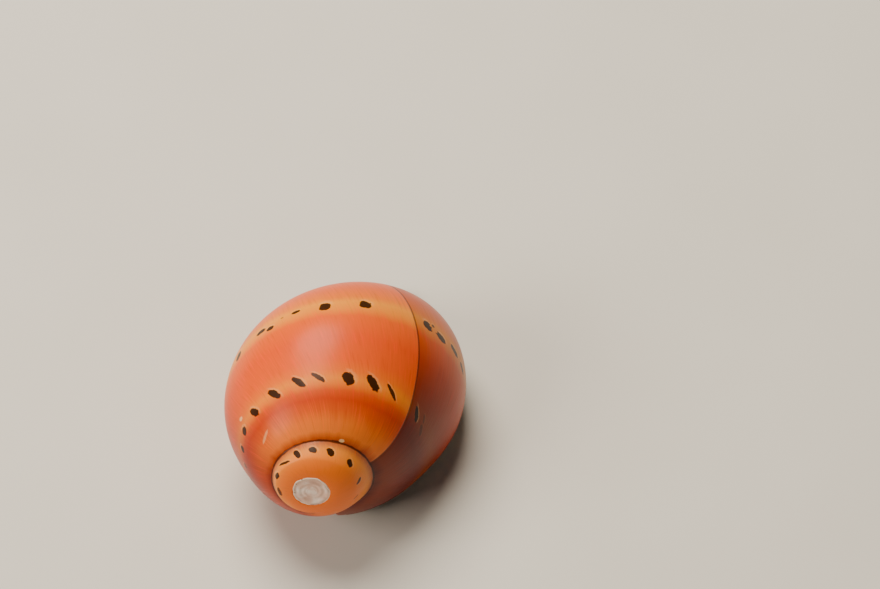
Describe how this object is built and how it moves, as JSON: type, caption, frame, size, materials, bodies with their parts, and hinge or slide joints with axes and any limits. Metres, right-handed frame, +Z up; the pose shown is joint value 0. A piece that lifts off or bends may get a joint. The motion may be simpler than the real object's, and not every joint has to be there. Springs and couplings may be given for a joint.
{
  "type": "nerite snail",
  "caption": "Life-size still model of an orange track nerite snail, with its coiled shell, operculum, foot, head, tentacles and eyes, standing on its sole.",
  "frame": {"origin": "middle of the flat sole of the foot, on the floor", "axes": "+Y from spire to head, +Z up, +X to the animal's right"},
  "size_m": [0.0222, 0.0291, 0.0186],
  "materials": {
    "shell_glaze": "glossy orange shell with spiral bands, fine growth lines and rows of short dark dashes",
    "shell_worn_tip": "bare, chalky pinkish white shell where the tip is eroded",
    "callus_enamel": "smooth cream to white shell enamel",
    "operculum_plate": "smooth tan limy plate with fine growth rings",
    "flesh": "moist grey-brown skin with dark speckles and pale sole",
    "eye_black": "wet black"
  },
  "bodies": {
    "root": {"shell_apex": "shell_worn_tip", "shell_spire": "shell_glaze", "shell_body_whorl": "shell_glaze", "shell_lip_whorl": "shell_glaze", "shell_base": "shell_glaze", "shell_callus": "callus_enamel", "operculum": "operculum_plate", "foot": "flesh", "mantle": "flesh", "head": "flesh", "snout": "flesh", "tentacle_left_root": "flesh", "tentacle_left_middle": "flesh", "tentacle_left_tip": "flesh", "tentacle_right_root": "flesh", "tentacle_right_middle": "flesh", "tentacle_right_tip": "flesh", "eye_stalk_left": "flesh", "eye_stalk_right": "flesh", "eye_left": "eye_black", "eye_right": "eye_black"}
  },
  "joints": []
}
